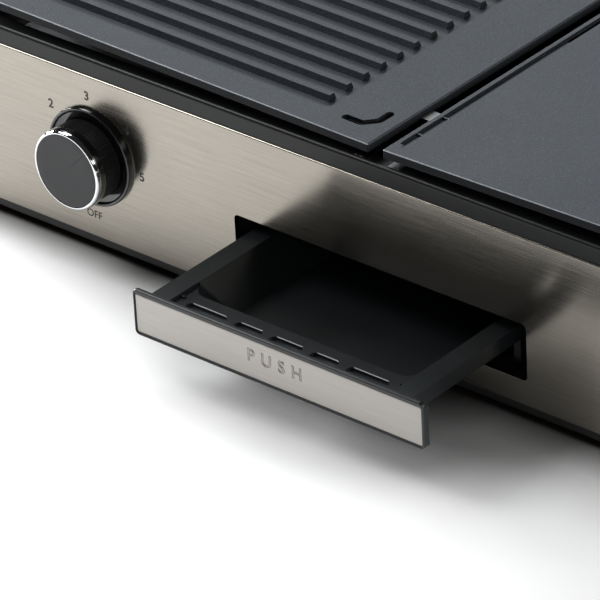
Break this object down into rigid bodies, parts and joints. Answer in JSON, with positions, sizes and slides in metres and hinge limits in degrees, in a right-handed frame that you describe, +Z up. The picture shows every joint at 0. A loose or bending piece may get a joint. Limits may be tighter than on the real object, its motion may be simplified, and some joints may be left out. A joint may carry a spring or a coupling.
{
  "type": "plancha grill",
  "caption": "Tabletop electric plancha grill: two lift-off cast plates draining to a gap, a brushed front with dial knobs and a push-to-open grease drawer.",
  "frame": {"origin": "middle of the footprint on the worktop, measured with the drawer open as stored", "axes": "+X to the right along the front, +Y from the front to the back, +Z up"},
  "size_m": [0.56, 0.4096, 0.1204],
  "materials": {
    "base_plastic": "fine moulded grain",
    "bezel_gloss": "polished black",
    "bracket_steel": "bright, brushed",
    "brass": "turned",
    "bushing_rubber": "moulded",
    "cast_nonstick": "cast, speckled non-stick coat",
    "ceramic": "unglazed",
    "drawer_plastic": "polished black",
    "element_steel": "heat darkened",
    "fascia_steel": "brushed along the width",
    "foot_rubber": "matt",
    "frame_enamel": "satin black enamel",
    "housing_plastic": "plain moulded",
    "inlay_steel": "brushed along the width",
    "knob_face_paint": "satin dark grey",
    "knob_plastic": "finely fluted",
    "latch_plastic": "natural acetal",
    "panel_plastic": "fine moulded grain",
    "rear_sheet": "satin black paint",
    "reflector_steel": "rolled, dull",
    "ring_chrome": "polished",
    "screw_steel": "zinc plated",
    "spindle_steel": "turned",
    "spring_steel": "bright wire",
    "thermostat_plastic": "phenolic",
    "wire_sleeve": "silicone sleeve"
  },
  "bodies": {
    "body": {"front_fascia": "fascia_steel", "base_pan": "base_plastic", "left_side_panel": "panel_plastic", "right_side_panel": "panel_plastic", "rear_panel": "rear_sheet", "upper_housing": "frame_enamel", "left_reflector": "reflector_steel", "right_reflector": "reflector_steel", "left_heating_element": "element_steel", "right_heating_element": "element_steel", "left_element_clips": "bracket_steel", "right_element_clips": "bracket_steel", "left_plate_rests": "bracket_steel", "right_plate_rests": "bracket_steel", "rest_rivets": "screw_steel", "grease_funnel": "frame_enamel", "plate_spacers": "bracket_steel", "drawer_housing": "housing_plastic", "left_drawer_guide": "housing_plastic", "right_drawer_guide": "housing_plastic", "latch_body": "housing_plastic", "latch_spring": "spring_steel", "latch_screws": "screw_steel", "left_thermostat": "thermostat_plastic", "right_thermostat": "thermostat_plastic", "left_bezel": "bezel_gloss", "right_bezel": "bezel_gloss", "thermostat_screws": "screw_steel", "foot_front_left": "foot_rubber", "foot_front_right": "foot_rubber", "foot_rear_left": "foot_rubber", "foot_rear_right": "foot_rubber", "foot_screws": "screw_steel", "tower_screws": "screw_steel", "rear_screws": "screw_steel", "terminal_block": "ceramic", "terminal_screws": "brass", "cord_bushing": "bushing_rubber", "cord_clamp": "housing_plastic", "left_wiring": "wire_sleeve", "right_wiring": "wire_sleeve"},
    "drawer": {"drawer_tray": "drawer_plastic", "drawer_inlay": "inlay_steel"},
    "latch": {"latch_plunger": "latch_plastic"},
    "left_plate": {"left_grill_plate": "cast_nonstick"},
    "right_plate": {"right_plancha_plate": "cast_nonstick"},
    "left_knob": {"left_thermostat_shaft": "spindle_steel", "left_knob_grip": "knob_plastic", "left_knob_ring": "ring_chrome", "left_knob_face": "knob_face_paint"},
    "right_knob": {"right_thermostat_shaft": "spindle_steel", "right_knob_grip": "knob_plastic", "right_knob_ring": "ring_chrome", "right_knob_face": "knob_face_paint"}
  },
  "joints": [
    {"name": "drawer_slide", "type": "slide", "parent": "body", "child": "drawer", "axis": [0, -1, 0], "range_m": [-0.0735, 0.0705]},
    {"name": "left_plate_lift", "type": "slide", "parent": "body", "child": "left_plate", "axis": [0, 0, 1], "range_m": [0, 0.08]},
    {"name": "right_plate_lift", "type": "slide", "parent": "body", "child": "right_plate", "axis": [0, 0, 1], "range_m": [0, 0.08]},
    {"name": "left_knob_turn", "type": "hinge", "parent": "body", "child": "left_knob", "pos_m": [-0.1771, -0.13125, 0.054], "axis": [0, 1, 0], "range_deg": [-225, 45]},
    {"name": "right_knob_turn", "type": "hinge", "parent": "body", "child": "right_knob", "pos_m": [0.1771, -0.13125, 0.054], "axis": [0, 1, 0], "range_deg": [-225, 45]},
    {"name": "latch_push", "type": "slide", "parent": "body", "child": "latch", "axis": [0, 1, 0], "range_m": [0, 0.0025], "stiffness_N_per_m": 400, "springref_m": -0.006, "deforming": ["latch_spring"]}
  ]
}
